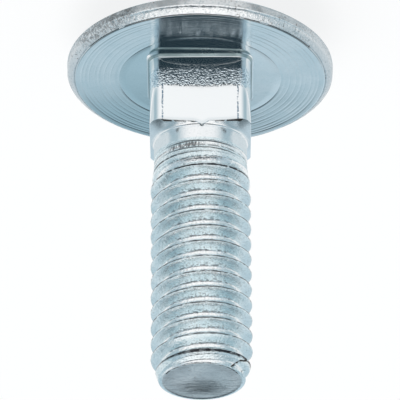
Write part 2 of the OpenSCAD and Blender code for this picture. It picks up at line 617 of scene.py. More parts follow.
    def _shoulder(self, skin: Skin) -> None:
        """Add the shoulder between the walls and the collar.

        Args:
            skin: The surface that grows.
        """
        collar_z = self.bearing_z + self.depth + self.collar_rise
        rims = [skin.points[number] for number in skin.edge]
        for share in self.shoulder_shares:
            ring: list[Point] = []
            for column, (x, y, top) in zip(skin.columns, rims):
                foot_x, foot_y = column.on_circle(self.collar_r + self.shoulder_out)
                foot_z = collar_z - self.shoulder_sink - self._fall(foot_y)
                ring.append((x + (foot_x - x) * share, y + (foot_y - y) * share,
                             top + (foot_z - top) * share))
            first = len(skin.faces)
            skin.grow(ring, Region.SHOULDER)
            if share == self.shoulder_shares[0]:
                # Painted shade in the crease
                skin.repaint(first, self._paint_shade_in_crease)
        for outward, lift in self.fillet_rows:
            ring = []
            for column in skin.columns:
                x, y = column.on_circle(self.collar_r + outward)
                ring.append((x, y, collar_z - self._fall(y) + lift))
            skin.grow(ring, Region.SHOULDER)


@dataclass
class RolledShank:
    """Plain collar and rolled right-hand thread, with its run-in and the tapered tip."""

    tip_z: float
    collar_z: float
    crest_r: float
    collar_r: float
    groove_z: float
    first_crest_z: float
    root_r: float = 2.33 * MM
    pitch: float = 1.0 * MM
    tip_r: float = 2.50 * MM
    lip_h: float = 0.06 * MM
    taper: float = math.radians(70)
    crest_share: float = 0.06
    flank_share: float = 0.33
    crest_round: float = 0.10
    root_round: float = 0.20
    even_z: float = 22.25 * MM
    thread_z: float = 9.72 * MM
    run_in_rows: int = 25
    row_step: float = 0.022 * MM
    wear: float = 0.018 * MM
    wear_grain: float = 0.24 * MM
    groove_span: Span = (9.4 * MM, 11.5 * MM)
    crest_span: Span = (9.5 * MM, 11.2 * MM)
    least_gap: float = 0.012 * MM
    collar_shares: tuple[float, ...] = (0.25, 0.5, 0.75, 1.0)
    step_wander: float = 0.03 * MM
    crest_soft: float = 0.02 * MM
    tip_soft: float = 0.04 * MM
    # Depth of each step in the collar, the span where it goes in and the span where it comes out
    collar_steps: tuple[tuple[float, Span, Span], ...] = (
        (0.038 * MM, (9.13 * MM, 9.21 * MM), (9.28 * MM, 9.58 * MM)),
        (0.018 * MM, (9.58 * MM, 9.63 * MM), (9.66 * MM, 9.84 * MM)),
    )
    lap_foot: float = 22.3 * MM
    lap_depth: float = 0.09 * MM
    lap_half: float = 0.065 * MM
    # Each lap is a line of points: degrees round from the front, and height in millimetres
    laps: tuple[tuple[Plan, ...], ...] = (
        ((46.0, 23.40), (51.0, 23.22), (56.0, 22.94), (66.0, 22.78), (80.0, 22.42)),
        ((74.0, 23.36), (82.0, 23.00)),
    )
    # Places of the thread's lines in one turn, in pitches from the crest
    phases: tuple[float, ...] = (
        -0.43, -0.40, -0.36, -0.30, -0.18, -0.063, -0.03, 0.0,
        0.03, 0.063, 0.18, 0.30, 0.36, 0.40, 0.43, 0.5)

    def _profile(self, phase: float) -> float:
        """Give the depth of the groove as a share of its full depth.

        Args:
            phase: Place along the bolt in pitches, 0 on a crest and 0.5 in a root.

        Returns:
            0 on a crest, 1 in a root.
        """
        share = (abs(phase) - self.crest_share / 2) / self.flank_share
        if share < self.crest_round:
            lift = max(share + self.crest_round, 0.0)
            return lift * lift / (4 * self.crest_round)
        if share > 1 - self.root_round:
            left = max(1 + self.root_round - share, 0.0)
            return 1 - left * left / (4 * self.root_round)
        return share

    def radius(self, angle: float, z: float) -> float:
        """Radius of the shank at an angle and a height.

        Args:
            angle: Angle round the axis from +X.
            z: Height above the crown.

        Returns:
            The radius there.
        """
        turn = (z - self.first_crest_z) / self.pitch - angle / TAU
        phase = turn - math.floor(turn + 0.5)
        x, y = math.cos(angle) * self.crest_r, math.sin(angle) * self.crest_r
        crest = self.crest_r - self.wear * clamp(0.35 + rough(x, y, z, self.wear_grain, 1.0))
        full = crest - (crest - self.root_r) * self._profile(phase)
        uncut = (crest - self.root_r) * (1 - ease(*self.groove_span, z))
        top = self.collar_r + (crest - self.collar_r) * ease(*self.crest_span, z)
        radius = soft_least(top, full + uncut, self.crest_soft)
        stray = z + self.step_wander * rough(x, y, 0.0, 0.8 * MM, 14.0)
        for depth, down, up in self.collar_steps:
            radius -= depth * ease(*down, stray) * (1 - ease(*up, stray))
        cone = self.tip_r + (self.tip_z - self.lip_h - z) / math.tan(self.taper)
        radius = soft_least(radius, cone, self.tip_soft)
        return radius - self._lap(angle, z)

    def _lap(self, angle: float, z: float) -> float:
        """Depth of the short laps where the last turn folds over the tapered tip.

        Args:
            angle: Angle round the axis from +X.
            z: Height above the crown.

        Returns:
            How far the surface is sunk there.
        """
        if z < self.lap_foot:
            return 0.0
        turn = 270.0 - math.degrees(angle)
        turn -= 360.0 * round(turn / 360.0)
        nearest = min(
            self._to_line((turn, z), start, end)
            for lap in self.laps for start, end in zip(lap, lap[1:]))
        return self.lap_depth * (1 - ease(0.25 * self.lap_half, self.lap_half, nearest))

    def _to_line(self, place: Plan, start: Plan, end: Plan) -> float:
        """Measure the distance on the shank's surface from a place to a short line.

        Args:
            place: Degrees round the bolt from the front, and height.
            start: One end of the line, given the same way but with its height in millimetres.
            end: Other end of the line.

        Returns:
            The distance.
        """
        arc = math.radians(1.0) * self.tip_r
        u, v = place[0] * arc, place[1]
        u0, v0, u1, v1 = start[0] * arc, start[1] * MM, end[0] * arc, end[1] * MM
        along = clamp(((u - u0) * (u1 - u0) + (v - v0) * (v1 - v0)) / ((u1 - u0) ** 2 + (v1 - v0) ** 2))
        return math.hypot(u - u0 - along * (u1 - u0), v - v0 - along * (v1 - v0))

    def _rows(self) -> list[float]:
        """List the heights of the level rows at the tip.

        Returns:
            The heights, from the last row of the thread to the lip.
        """
        top = self.tip_z - self.lip_h
        count = math.ceil((top - self.even_z) / self.row_step)
        return [self.even_z + (top - self.even_z) * row / count for row in range(count + 1)]

    def dress(self, skin: Skin) -> None:
        """Add the collar, the thread and the tapered tip.

        Args:
            skin: The surface that grows.
        """
        for share in self.collar_shares:
            ring: list[Point] = []
            for column, number in zip(skin.columns, skin.edge):
                low = max(skin.points[number][2], self.collar_z)
                ring.append((*column.on_circle(self.collar_r), low + (self.groove_z - low) * share))
            skin.grow(ring, Region.SHOULDER)
        for step in range(1, self.run_in_rows + 1):
            z = self.groove_z + (self.thread_z - self.groove_z) * step / self.run_in_rows
            skin.grow(self._level(skin, z), Region.THREAD)
        self._thread(skin)
        first = len(skin.faces)
        for z in self._rows()[1:]:
            skin.grow(self._level(skin, z), Region.THREAD)
        # Painted shade in the bottom of the laps
        skin.repaint(first, self._paint_shade_in_laps)

    def _level(self, skin: Skin, z: float) -> list[Point]:
        """Make a level ring of the shank."""
        return [(*column.on_circle(self.radius(column.angle, z)), z) for column in skin.columns]

    def _paint_shade_in_laps(self, centre: Point, index: int) -> int:
        """Darken the bottom of the laps with painted shade.

        Args:
            centre: Middle of a face at the tip.
            index: Its material index.

        Returns:
            The index it gets.
        """
        x, y, z = centre
        open_here = self._lap(math.atan2(y, x) % TAU, z) > 0.55 * self.lap_depth
        return Region.PAINTED_SHADE.value if open_here else index

    def _line_z(self, line: int, angle: float) -> float:
        """Give the height of a numbered thread line at an angle.

        Args:
            line: Number of the line.
            angle: Angle round the axis from +X.

        Returns:
            The height there.
        """
        per_turn = len(self.phases)
        turns = math.floor(line / per_turn)
        return self.first_crest_z + self.pitch * (turns + self.phases[line % per_turn] + angle / TAU)

    def _thread(self, skin: Skin) -> None:
        """Add the thread, whose rows follow its helix between two level rings.

        Args:
            skin: The surface that grows.
        """
        per_turn = len(self.phases)
        first = per_turn * (math.floor((self.thread_z - self.first_crest_z) / self.pitch) - 2)
        last = per_turn * (math.ceil((self.even_z - self.first_crest_z) / self.pitch) + 2)
        foot, top = self.thread_z + self.least_gap, self.even_z - self.least_gap
        lows = skin.edge
        stacks: list[dict[int, int]] = []
        for column in skin.columns:
            lines = [line for line in range(first, last)
                     if foot < self._line_z(line, column.angle) < top]
            points = []
            for line in lines:
                z = self._line_z(line, column.angle)
                points.append((*column.on_circle(self.radius(column.angle, z)), z))
            stacks.append(dict(zip(lines, skin.add_points(points))))
        highs = skin.add_points([(*column.on_circle(self.radius(column.angle, self.even_z)), self.even_z)
                                 for column in skin.columns])
        count = len(skin.columns)
        for here in range(count):
            after = (here + 1) % count
            shift = per_turn if after == 0 else 0
            left = stacks[here]
            right = {line - shift: number for line, number in stacks[after].items()}
            self._zip(skin, (lows[here], left, highs[here]), (lows[after], right, highs[after]))
        skin.edge = highs

    @staticmethod
    def _zip(skin: Skin, left: tuple[int, dict[int, int], int],
             right: tuple[int, dict[int, int], int]) -> None:
        """Join two neighbouring columns of the thread along their shared lines.

        Args:
            skin: The surface that grows.
            left: Foot, line points and top of one column.
            right: Foot, line points and top of the next one.
        """
        left_foot, left_lines, left_top = left
        right_foot, right_lines, right_top = right
        low = max(min(left_lines), min(right_lines))
        high = min(max(left_lines), max(right_lines))
        below = right_foot
        for line in range(min(right_lines), low + 1):
            skin.add_face((left_foot, below, right_lines[line]), Region.THREAD)
            below = right_lines[line]
        beside = left_foot
        for line in range(min(left_lines), low + 1):
            skin.add_face((beside, right_lines[low], left_lines[line]), Region.THREAD)
            beside = left_lines[line]
        for line in range(low, high):
            skin.add_face((left_lines[line], right_lines[line],
                           right_lines[line + 1], left_lines[line + 1]), Region.THREAD)
        beside = left_lines[high]
        for line in range(high + 1, max(left_lines) + 1):
            skin.add_face((beside, right_lines[high], left_lines[line]), Region.THREAD)
            beside = left_lines[line]
        below = right_lines[high]
        for line in range(high + 1, max(right_lines) + 1):
            skin.add_face((beside, below, right_lines[line]), Region.THREAD)
            below = right_lines[line]
        skin.add_face((beside, below, right_top), Region.THREAD)
        skin.add_face((beside, right_top, left_top), Region.THREAD)


@dataclass
class ShearedEnd:
    """End face of the tip: a rounded lip round the cut end of the wire, which has a shallow dimple."""

    tip_z: float
    lip_h: float
    face_r: float = 2.28 * MM
    step: float = 0.022 * MM
    dimple_r: float = 1.9 * MM
    dimple_depth: float = 0.14 * MM
    rings: int = 22
    ring_inset: float = 0.09 * MM
    lip_shares: tuple[float, ...] = (0.10, 0.25, 0.45, 0.70, 0.92)
    lip_curve: float = 2.2
    lip_drop: float = 0.006 * MM
    # Where the step inside the lip gets painted shade, and the level of its noise
    lip_step_shade_y: float = -0.9 * MM
    lip_step_shade_level: float = -0.12

    def _paint_shade_on_step(self, centre: Point, index: int) -> int:
        """Darken the step inside the lip with painted shade.

        Args:
            centre: Middle of a face of the step.
            index: Its material index.

        Returns:
            The index it gets.
        """
        x, y, z = centre
        dark = y < self.lip_step_shade_y and rough(x, y, z, 0.30 * MM, 2.0) > self.lip_step_shade_level
        return Region.PAINTED_SHADE.value if dark else index

    def _height(self, x: float, y: float) -> float:
        """Give the height of the end face at a plan point.

        Args:
            x: Plan coordinate.
            y: Plan coordinate.

        Returns:
            The height there.
        """
        reach = math.hypot(x, y)
        hollow = self.dimple_depth * (1 - ease(0.1 * self.dimple_r, self.dimple_r, reach))
        lumps = 0.010 * MM * (rough(x, y, 0.0, 0.9 * MM, 4.0) + 0.5 * rough(x, y, 0.0, 0.3 * MM, 7.0))
        inside = 1 - ease(0.7 * self.face_r, self.face_r, reach)
        return self.tip_z - self.step - hollow + lumps * inside

    def dress(self, skin: Skin) -> None:
        """Add the lip and the end face, and close the surface.

        Args:
            skin: The surface that grows.
        """
        outer = [math.hypot(*skin.points[number][:2]) for number in skin.edge]
        for share in self.lip_shares:
            ring: list[Point] = []
            for column, edge_r in zip(skin.columns, outer):
                x, y = column.on_circle(edge_r + (self.face_r - edge_r) * share)
                ring.append((x, y, self.tip_z - self.lip_h * (1 - share) ** self.lip_curve))
            skin.grow(ring, Region.THREAD)
        skin.grow([(*column.on_circle(self.face_r), self.tip_z - self.lip_drop) for column in skin.columns],
                  Region.THREAD)
        for step in range(self.rings):
            radius = self.face_r * (1 - step / self.rings) - self.ring_inset
            first = len(skin.faces)
            skin.grow([(x, y, self._height(x, y)) for x, y in
                       (column.on_circle(radius) for column in skin.columns)], Region.END)
            if step == 0:
                # Painted shade on the step inside the lip
                skin.repaint(first, self._paint_shade_on_step)
        skin.finish((0.0, 0.0, self._height(0.0, 0.0)), Region.END)


class Board:
    """A shader's node tree, with short ways to place and join its nodes."""

    def __init__(self, tree: bpy.types.NodeTree) -> None:
        """Take over an empty tree."""
        self.tree = tree
        tree.nodes.clear()

    def add(self, kind: str, **settings: object) -> bpy.types.Node:
        """Place a node and set its properties.

        Args:
            kind: Type of the node.
            settings: Its properties by name.

        Returns:
            The node.
        """
        node = self.tree.nodes.new(kind)
        for name, value in settings.items():
            setattr(node, name, value)
        return node

    def feed(self, socket: Socket, value: object) -> None:
        """Join an output to a socket, or set the socket's own value.

        Args:
            socket: The input.
            value: The output or the value.
        """
        if isinstance(value, Socket):
            self.tree.links.new(value, socket)
        else:
            socket.default_value = value

    def sum(self, kind: str, first: object, second: object = 0.0, third: object = 0.0,
            hold: bool = False) -> Socket:
        """Work out one step of arithmetic.

        Args:
            kind: Name of the operation.
            first: First number or output.
            second: Second number or output.
            third: Third number or output.
            hold: Whether the result is kept between 0 and 1.

        Returns:
            The result's output.
        """
        node = self.add("ShaderNodeMath", operation=kind, use_clamp=hold)
        for socket, value in zip(node.inputs, (first, second, third)):
            self.feed(socket, value)
        return node.outputs[0]

    def times(self, first: object, *others: object) -> Socket:
        """Multiply numbers or outputs.

        Args:
            first: The first of them.
            others: The others.

        Returns:
            The product.
        """
        for other in others:
            first = self.sum("MULTIPLY", first, other)
        return first

    def most(self, first: object, second: object) -> Socket:
        """Take the larger of two numbers or outputs."""
        return self.sum("MAXIMUM", first, second)

    def size(self, value: object) -> Socket:
        """Drop the sign of a number."""
        return self.sum("ABSOLUTE", value)

    def parts(self, place: object) -> list[Socket]:
        """Split a place into its x, y and z.

        Args:
            place: Output that gives the place.

        Returns:
            The three outputs.
        """
        split = self.add("ShaderNodeSeparateXYZ")
        self.feed(split.inputs[0], place)
        return list(split.outputs)

    def reach(self, x: Socket, y: Socket) -> Socket:
        """Work out the distance from the axis."""
        return self.sum("SQRT", self.sum("ADD", self.times(x, x), self.times(y, y)))

    def rise(self, value: object, start: float, end: float) -> Socket:
        """Rise smoothly from 0 to 1 while a value goes from start to end.

        Args:
            value: The output that is looked at.
            start: Value at which the result is 0.
            end: Value at which the result is 1, which may be below start.

        Returns:
            The result's output.
        """
        node = self.add("ShaderNodeMapRange", interpolation_type="SMOOTHSTEP")
        self.feed(node.inputs["Value"], value)
        node.inputs["From Min"].default_value = min(start, end)
        node.inputs["From Max"].default_value = max(start, end)
        node.inputs["To Min"].default_value = float(start > end)
        node.inputs["To Max"].default_value = float(start < end)
        return node.outputs[0]

    def window(self, value: object, *spans: Span) -> Socket:
        """Multiply the rises of one value over several spans."""
        return self.times(*(self.rise(value, *span) for span in spans))

    def blend(self, share: object, first: object, second: object) -> Socket:
        """Mix two colours.

        Args:
            share: Share of the second colour.
            first: First colour or output.
            second: Second colour or output.

        Returns:
            The mixed colour's output.
        """
        node = self.add("ShaderNodeMix", data_type="RGBA")
        self.feed(node.inputs["Factor"], share)
        for socket, value in ((node.inputs[6], first), (node.inputs[7], second)):
            self.feed(socket, (*value, 1.0) if isinstance(value, tuple) else value)
        return node.outputs[2]

    def noise(self, place: object, scale: float, detail: float, gain: float, flat: bool = False) -> Socket:
        """Place a noise texture.

        Args:
            place: Output that gives the coordinates, or a single value.
            scale: Lumps to the metre.
            detail: How many finer layers it has.
            gain: Strength of each finer layer.
            flat: Whether it changes along a single value only.

        Returns:
            The noise, from 0 to 1.
        """
        node = self.add("ShaderNodeTexNoise", noise_dimensions="1D" if flat else "3D")
        self.feed(node.inputs["W" if flat else "Vector"], place)
        node.inputs["Scale"].default_value = scale
        node.inputs["Detail"].default_value = detail
        node.inputs["Roughness"].default_value = gain
        return node.outputs[0]


@dataclass(frozen=True)
class Spots:
    """A pattern of spots: where a noise lies above a level."""

    scale: float
    low: float
    high: float
    detail: float = 2.0
    gain: float = 0.6


class Coat(Board):
    """A finish's node tree, with the coordinates and the noises that its steps share."""

    def __init__(self, tree: bpy.types.NodeTree, grain: float) -> None:
        """Start an empty tree.

        Args:
            tree: The tree.
            grain: Lumps of the fine noise to the metre.
        """
        super().__init__(tree)
        self.place = self.add("ShaderNodeTexCoord").outputs["Object"]
        self.x, self.y, self.z = self.parts(self.place)
        self.cloud = self.noise(self.place, 700.0, 3.0, 0.55)
        self.fine = self.noise(self.place, grain, 4.0, 0.6)

    def spots(self, pattern: Spots, place: Socket | None = None) -> Socket:
        """Show a pattern of spots.

        Args:
            pattern: The pattern.
            place: Coordinates, if they aren't the object's own.

        Returns:
            1 in the spots, 0 between them.
        """
        where = self.place if place is None else place
        grain = self.noise(where, pattern.scale, pattern.detail, pattern.gain)
        return self.rise(grain, pattern.low, pattern.high)

    def ragged(self, value: object, amount: float, scale: float, detail: float = 2.0,
               gain: float = 0.6) -> Socket:
        """Add noise to a value, so that an edge that follows it is ragged.

        Args:
            value: The value.
            amount: How much is added where the noise is 1.
            scale: Lumps to the metre.
            detail: How many finer layers the noise has.
            gain: Strength of each finer layer.

        Returns:
            The ragged value.
        """
        return self.sum("MULTIPLY_ADD", self.noise(self.place, scale, detail, gain), amount, value)

    def stretched(self, turn: Point, scale: Point) -> Socket:
        """Turn and stretch the coordinates.

        Args:
            turn: Angles about the three axes.
            scale: Scale along the three axes.

        Returns:
            The new coordinates.
        """
        node = self.add("ShaderNodeMapping")
        self.feed(node.inputs["Vector"], self.place)
        node.inputs["Rotation"].default_value = turn
        node.inputs["Scale"].default_value = scale
        return node.outputs[0]


@dataclass(frozen=True)
class ZincFinish:
    """Bright zinc plate with fine grain, cloudy tint and small dark flecks."""

    name: str
    colour: Colour
    shade: Colour
    dull: float
    grain: float = 9000.0
    grain_depth: float = 0.004 * MM
    flecks: float = 0.0
    specks: float = 0.0
    fleck_colour: Colour = (0.20, 0.17, 0.15)
    speck_colour: Colour = (0.30, 0.38, 0.42)
    mark_colour: Colour = (0.04, 0.04, 0.045)
    mark_depth: float = 1.5
    cloud_span: Span = (0.35, 0.68)
    fleck_spots: Spots = Spots(6800.0, 0.60, 0.68, gain=0.7)
    fleck_patches: Spots = Spots(520.0, 0.46, 0.60, gain=0.5)
    speck_spots: Spots = Spots(8600.0, 0.50, 0.66, gain=0.65)

    def material(self) -> bpy.types.Material:
        """Build the finish as a material.

        Returns:
            The material.
        """
        material = bpy.data.materials.new(self.name)
        material.use_nodes = True
        coat = Coat(material.node_tree, self.grain)
        clouds = coat.rise(coat.cloud, *self.cloud_span)
        colour = self.tint(coat, coat.blend(clouds, self.colour, self.shade))
        height = self.height(coat)
        marks = self.marks(coat)
        if marks is not None:
            colour = coat.blend(marks, colour, self.mark_colour)
            height = coat.sum("SUBTRACT", height, coat.times(marks, self.mark_depth))
        if self.flecks:
            spots = coat.times(coat.spots(self.fleck_spots), coat.spots(self.fleck_patches), self.flecks)
            colour = coat.blend(spots, colour, self.fleck_colour)
        if self.specks:
            spots = coat.times(coat.spots(self.speck_spots), self.specks)
            colour = coat.blend(spots, colour, self.speck_colour)
        shader = coat.add("ShaderNodeBsdfPrincipled")
        shader.inputs["Metallic"].default_value = 1.0
        coat.feed(shader.inputs["Base Color"], colour)
        coat.feed(shader.inputs["Roughness"], self.dullness(coat))
        bump = coat.add("ShaderNodeBump")
        bump.inputs["Strength"].default_value = 1.0
        bump.inputs["Distance"].default_value = self.grain_depth
        coat.feed(bump.inputs["Height"], height)
        coat.feed(shader.inputs["Normal"], bump.outputs[0])
        result = coat.add("ShaderNodeOutputMaterial")
        coat.feed(result.inputs["Surface"], shader.outputs[0])
        return material

    def tint(self, coat: Coat, colour: Socket) -> Socket:
        """Plain zinc keeps the colour of its clouds."""
        return colour

    def dullness(self, coat: Coat) -> Socket:
        """Give the roughness, which varies with the clouds and the grain.

        Args:
            coat: The material's nodes.

        Returns:
            The roughness's output.
        """
        share = self.dull / 0.2
        dull = coat.sum("MULTIPLY_ADD", coat.cloud, 0.14 * share, self.dull - 0.11 * share)
        return coat.sum("MULTIPLY_ADD", coat.fine, 0.08 * share, dull)

    def marks(self, coat: Coat) -> Socket | None:
        """Plain zinc has no dark marks of its own."""
        return None

    def height(self, coat: Coat) -> Socket:
        """Plain zinc has only its grain."""
        return coat.fine


@dataclass(frozen=True)
class RimZinc(ZincFinish):
    """Zinc over the head's edge, with a brownish stain on the side between +X and -Y and painted shade
    towards both sides.
    """

    # Painted shade: the edge is darker towards both sides
    side_shade_colour: Colour = (0.75, 0.77, 0.785)
    side_span: Span = (4.6 * MM, 6.9 * MM)
    stain_share: float = 0.55
    stain_side: Plan = (0.74, -0.67)
    stain_span: Span = (7.65 * MM, 8.05 * MM)
    stain_spots: Spots = Spots(4600.0, 0.44, 0.60, 3.0, 0.7)

    def tint(self, coat: Coat, colour: Socket) -> Socket:
        """Darken the edge towards both sides with painted shade."""
        return coat.blend(coat.rise(coat.size(coat.x), *self.side_span), colour, self.side_shade_colour)

    def marks(self, coat: Coat) -> Socket:
        """Show the stain as a patch of fine dark spots.

        Args:
            coat: The material's nodes.

        Returns:
            How dark the stain is, 0 outside it.
        """
        towards = coat.sum("ADD", coat.times(coat.x, self.stain_side[0]),
                           coat.times(coat.y, self.stain_side[1]))
        area = coat.rise(coat.ragged(towards, 0.8 * MM, 900.0), *self.stain_span)
        return coat.times(area, coat.spots(self.stain_spots), self.stain_share)


@dataclass(frozen=True)
class TurnedZinc(ZincFinish):
    """Zinc over a face turned on a lathe, with fine rings round the axis."""

    ring_scale: float = 5200.0
    ring_depth: float = 0.64
    ring_span: Span = (4.55 * MM, 4.9 * MM)
    # Painted shade: a darker teal towards +X and towards +Y, and near the neck
    painted_shade: Colour = (0.55, 0.68, 0.72)
    painted_shade_share: float = 0.75
    painted_shade_least: float = 0.10
    painted_shade_behind: float = 0.25
    painted_shade_side: Span = (0.2 * MM, 4.6 * MM)
    painted_shade_away: Span = (-1.0 * MM, 5.5 * MM)
    painted_shade_near: Span = (5.4 * MM, 4.4 * MM)

    def tint(self, coat: Coat, colour: Socket) -> Socket:
        """Add painted shade: a darker teal towards +X and towards +Y, and near the neck.

        Args:
            coat: The material's nodes.
            colour: The colour so far.

        Returns:
            The colour with the painted shade.
        """
        side = coat.rise(coat.ragged(coat.x, 2.4 * MM, 420.0, 3.0), *self.painted_shade_side)
        away = coat.rise(coat.y, *self.painted_shade_away)
        near = coat.rise(coat.reach(coat.x, coat.y), *self.painted_shade_near)
        share = coat.sum("MULTIPLY_ADD", coat.most(away, near), self.painted_shade_share, self.painted_shade_least)
        share = coat.sum("MULTIPLY_ADD", away, self.painted_shade_behind, coat.times(side, share), hold=True)
        return coat.blend(share, colour, self.painted_shade)

    def height(self, coat: Coat) -> Socket:
        """Add fine turning rings to the grain.

        Args:
            coat: The material's nodes.

        Returns:
            The height's output.
        """
        reach = coat.reach(coat.x, coat.y)
        rings = coat.times(coat.noise(reach, self.ring_scale, 3.0, 0.6, flat=True),
                           coat.rise(reach, *self.ring_span), self.ring_depth)
        return coat.sum("MULTIPLY_ADD", coat.fine, 0.25, rings)


@dataclass(frozen=True)
class ForgedZinc(ZincFinish):
    """Zinc over the forged neck: smooth flats with a pitted band near the head and marks of the die."""

    band_foot: Span = (4.25 * MM, 4.70 * MM)
    band_top: Span = (5.68 * MM, 5.52 * MM)
    band_shift: float = 0.25 * MM
    band_wander: float = 0.5 * MM
    # Painted reflection: a blue tint for the bluish light that the pitted band mirrors
    band_reflection_tint: Colour = (0.86, 0.95, 1.0)
    band_dull: float = 0.09
    pit_scale: float = 9400.0
    pit_depth: float = 8.5
    pit_spots: Spots = Spots(7600.0, 0.50, 0.66, 1.0, 0.5)
    pit_share: float = 0.40
    line_out: float = 2.20 * MM
    line_wander: float = 0.10 * MM
    line_span: Span = (0.062 * MM, 0.030 * MM)
    line_foot: Span = (5.3 * MM, 5.6 * MM)
    line_top: Span = (8.0 * MM, 7.95 * MM)
    dashes: Spots = Spots(7600.0, 0.40, 0.52, gain=0.7)

    def _band(self, coat: Coat) -> Socket:
        """Tell where the pitted band is, 1 in it and 0 elsewhere."""
        ragged = coat.ragged(coat.sum("SUBTRACT", coat.z, self.band_shift), self.band_wander, 2600.0)
        return coat.window(ragged, self.band_foot, self.band_top)

    def tint(self, coat: Coat, colour: Socket) -> Socket:
        """Turn the pitted band a little blue as a painted reflection of bluish light."""
        return coat.blend(self._band(coat), colour, self.band_reflection_tint)

    def dullness(self, coat: Coat) -> Socket:
        """Give the roughness: low on the flats, higher in the pitted band."""
        flats = coat.sum("MULTIPLY_ADD", coat.cloud, 0.05, self.dull - 0.025)
        return coat.sum("MULTIPLY_ADD", self._band(coat), self.band_dull, flats)

    def marks(self, coat: Coat) -> Socket:
        """Show the broken dark lines along the edges of the flats, and the dark pits of the band.

        Args:
            coat: The material's nodes.

        Returns:
            1 on the lines, 0 where there are no marks.
        """
        nearer = coat.sum("MINIMUM", coat.size(coat.x), coat.size(coat.y))
        wander = coat.ragged(nearer, self.line_wander, 3000.0, 1.0, 0.5)
        away = coat.size(coat.sum("SUBTRACT", wander, self.line_out + self.line_wander / 2))
        lines = coat.times(coat.rise(away, *self.line_span), coat.spots(self.dashes),
                           coat.window(coat.z, self.line_foot, self.line_top))
        return coat.most(lines, coat.times(coat.spots(self.pit_spots), self._band(coat), self.pit_share))

    def height(self, coat: Coat) -> Socket:
        """Add the pits to the grain.

        Args:
            coat: The material's nodes.

        Returns:
            The height's output.
        """
        pits = coat.sum("SUBTRACT", coat.noise(coat.place, self.pit_scale, 1.0, 0.5), 0.5)
        pits = coat.times(pits, self._band(coat), self.pit_depth)
        return coat.sum("MULTIPLY_ADD", coat.fine, 0.12, pits)


